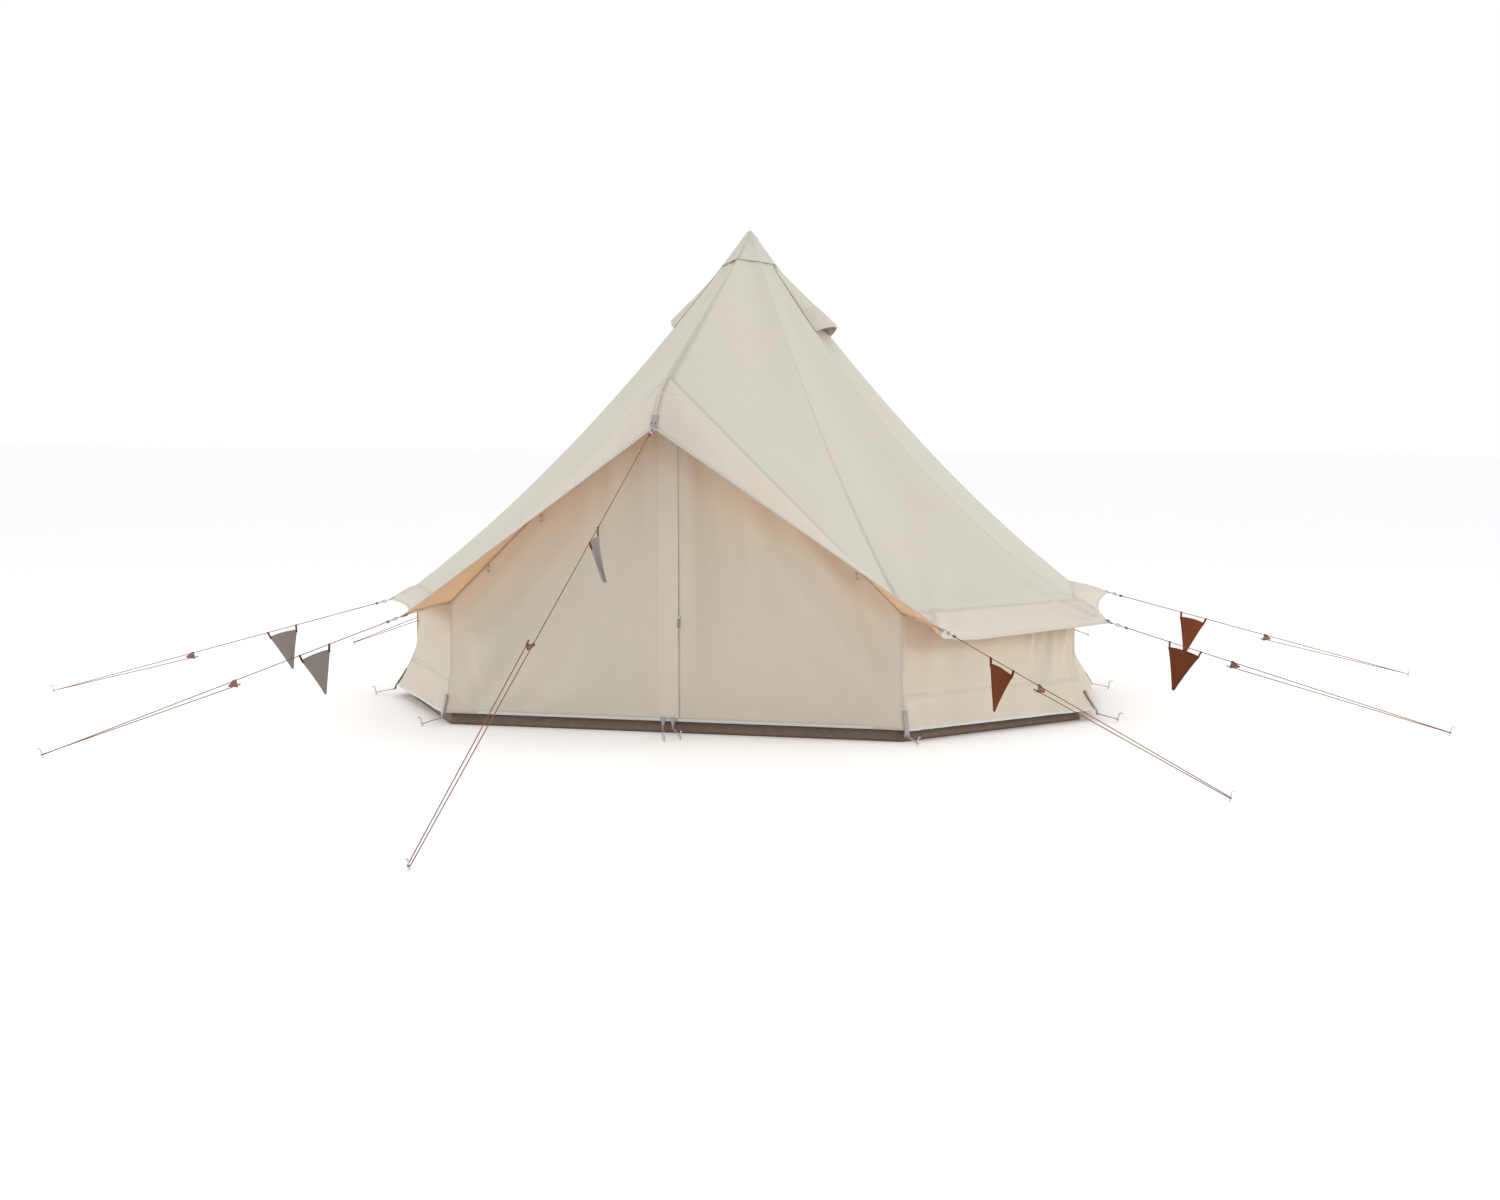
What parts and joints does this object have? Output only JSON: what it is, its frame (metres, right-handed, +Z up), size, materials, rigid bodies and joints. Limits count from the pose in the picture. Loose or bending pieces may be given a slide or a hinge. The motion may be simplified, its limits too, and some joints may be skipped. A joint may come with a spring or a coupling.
{
  "type": "bell tent",
  "caption": "Nine-sided canvas bell tent on a central pole, with an A-frame door, zipped leaves, hooded roof vents, low walls, a tub groundsheet and pegged guy lines with pennants.",
  "frame": {"origin": "on the ground, under the middle of the centre pole", "axes": "+Z up, the door faces -Y, +X to the right hand of someone who looks at the door from outside"},
  "size_m": [7.419, 8.9773, 2.5],
  "materials": {
    "roof_canvas": "matte proofed cotton canvas, cream",
    "wall_canvas": "matte proofed cotton canvas, cream",
    "mesh": "fine insect mesh",
    "webbing": "grey woven webbing",
    "groundsheet": "coated groundsheet, grey brown",
    "cord": "braided reddish brown cord",
    "elastic": "dark elastic cord",
    "steel": "zinc plated",
    "pole_steel": "galvanised tube",
    "plastic": "dark moulded plastic",
    "wood": "oiled beech, reddish brown",
    "leather": "rust brown leather",
    "felt": "grey felt",
    "zip": "zip tape and teeth"
  },
  "bodies": {
    "tent": {"a_frame_feet": "plastic", "a_frame_lower_legs": "pole_steel", "a_frame_peak_joint": "plastic", "a_frame_upper_legs": "pole_steel", "apex_cap": "roof_canvas", "centre_pole_lower": "pole_steel", "centre_pole_middle": "pole_steel", "centre_pole_upper": "pole_steel", "corner_peg_ties": "elastic", "corner_pegs": "steel", "door_porch": "roof_canvas", "door_side_panels": "wall_canvas", "door_toggles": "wood", "eave_flaps": "roof_canvas", "groundsheet_floor": "groundsheet", "groundsheet_sides": "groundsheet", "guy_hooks": "steel", "guy_line_back_left": "cord", "guy_line_back_right": "cord", "guy_line_door": "cord", "guy_line_front_left": "cord", "guy_line_front_right": "cord", "guy_line_left": "cord", "guy_line_rear_left": "cord", "guy_line_rear_right": "cord", "guy_line_right": "cord", "guy_pegs": "steel", "pole_foot": "plastic", "pole_head": "plastic", "roof_front_panels": "roof_canvas", "roof_side_panels": "roof_canvas", "side_walls": "wall_canvas", "tip_rings": "steel", "tip_webbing": "webbing", "vent_hoods": "roof_canvas", "vent_meshes": "mesh", "wall_skirts": "wall_canvas"},
    "door_leaf_left": {"door_leaf_left": "wall_canvas", "zip_cover_flap": "wall_canvas", "zip_tape_left": "zip"},
    "door_leaf_right": {"door_leaf_right": "wall_canvas", "zip_tape_right": "zip"},
    "zip_slider": {"zip_slider": "steel"},
    "zip_pull": {"zip_pull": "wood"},
    "tensioner_door": {"tensioner_door": "wood"},
    "tensioner_front_right": {"tensioner_front_right": "wood"},
    "tensioner_right": {"tensioner_right": "wood"},
    "tensioner_back_right": {"tensioner_back_right": "wood"},
    "tensioner_rear_right": {"tensioner_rear_right": "wood"},
    "tensioner_front_left": {"tensioner_front_left": "wood"},
    "tensioner_left": {"tensioner_left": "wood"},
    "tensioner_back_left": {"tensioner_back_left": "wood"},
    "tensioner_rear_left": {"tensioner_rear_left": "wood"},
    "pennant_door": {"pennant_door": "felt"},
    "pennant_front_right": {"pennant_front_right": "leather"},
    "pennant_right": {"pennant_right": "leather"},
    "pennant_back_right": {"pennant_back_right": "leather"},
    "pennant_front_left": {"pennant_front_left": "felt"},
    "pennant_left": {"pennant_left": "felt"}
  },
  "joints": [
    {"name": "door_leaf_right_fold", "type": "hinge", "parent": "tent", "child": "door_leaf_right", "pos_m": [0.01, -1.385, 1.42], "axis": [-0.6218, 0, 0.7832], "range_deg": [0, 105]},
    {"name": "door_leaf_left_fold", "type": "hinge", "parent": "tent", "child": "door_leaf_left", "pos_m": [-0.01, -1.385, 1.42], "axis": [-0.6218, 0, -0.7832], "range_deg": [0, 105]},
    {"name": "zip_slider_travel", "type": "slide", "parent": "door_leaf_right", "child": "zip_slider", "axis": [0, 0, 1], "range_m": [-0.45, 0.76]},
    {"name": "zip_pull_hinge", "type": "hinge", "parent": "zip_slider", "child": "zip_pull", "pos_m": [0.051, -1.3959, 0.559], "axis": [-1, 0, 0], "range_deg": [0, 110]},
    {"name": "tensioner_door_slide", "type": "slide", "parent": "tent", "child": "tensioner_door", "axis": [0.064, -0.914, -0.4005], "range_m": [-0.04, 0.25]},
    {"name": "tensioner_front_right_slide", "type": "slide", "parent": "tent", "child": "tensioner_front_right", "axis": [0.7493, -0.599, -0.2824], "range_m": [-0.04, 0.25]},
    {"name": "tensioner_right_slide", "type": "slide", "parent": "tent", "child": "tensioner_right", "axis": [0.959, -0.0444, -0.28], "range_m": [-0.04, 0.25]},
    {"name": "tensioner_back_right_slide", "type": "slide", "parent": "tent", "child": "tensioner_back_right", "axis": [0.7912, 0.5528, -0.2615], "range_m": [-0.04, 0.25]},
    {"name": "tensioner_rear_right_slide", "type": "slide", "parent": "tent", "child": "tensioner_rear_right", "axis": [0.2375, 0.9418, -0.2378], "range_m": [-0.04, 0.25]},
    {"name": "tensioner_front_left_slide", "type": "slide", "parent": "tent", "child": "tensioner_front_left", "axis": [-0.5996, -0.748, -0.2844], "range_m": [-0.04, 0.25]},
    {"name": "tensioner_left_slide", "type": "slide", "parent": "tent", "child": "tensioner_left", "axis": [-0.9392, -0.2212, -0.2625], "range_m": [-0.04, 0.25]},
    {"name": "tensioner_back_left_slide", "type": "slide", "parent": "tent", "child": "tensioner_back_left", "axis": [-0.7908, 0.5525, -0.2635], "range_m": [-0.04, 0.25]},
    {"name": "tensioner_rear_left_slide", "type": "slide", "parent": "tent", "child": "tensioner_rear_left", "axis": [-0.3293, 0.9048, -0.2698], "range_m": [-0.04, 0.25]},
    {"name": "pennant_door_swing", "type": "hinge", "parent": "tent", "child": "pennant_door", "pos_m": [0.07169, -2.63873, 1.0264], "axis": [0.064, -0.914, -0.4005], "range_deg": [-100, 100]},
    {"name": "pennant_front_right_swing", "type": "hinge", "parent": "tent", "child": "pennant_front_right", "pos_m": [1.70213, -1.80757, 0.42997], "axis": [0.7493, -0.599, -0.2824], "range_deg": [-100, 100]},
    {"name": "pennant_right_swing", "type": "hinge", "parent": "tent", "child": "pennant_right", "pos_m": [2.35359, -0.36699, 0.38721], "axis": [0.959, -0.0444, -0.28], "range_deg": [-100, 100]},
    {"name": "pennant_back_right_swing", "type": "hinge", "parent": "tent", "child": "pennant_back_right", "pos_m": [2.2105, 1.32906, 0.39615], "axis": [0.7912, 0.5528, -0.2615], "range_deg": [-100, 100]},
    {"name": "pennant_front_left_swing", "type": "hinge", "parent": "tent", "child": "pennant_front_left", "pos_m": [-1.60854, -1.93319, 0.41208], "axis": [-0.5996, -0.748, -0.2844], "range_deg": [-100, 100]},
    {"name": "pennant_left_swing", "type": "hinge", "parent": "tent", "child": "pennant_left", "pos_m": [-2.50631, -0.51113, 0.36223], "axis": [-0.9392, -0.2212, -0.2625], "range_deg": [-100, 100]}
  ]
}
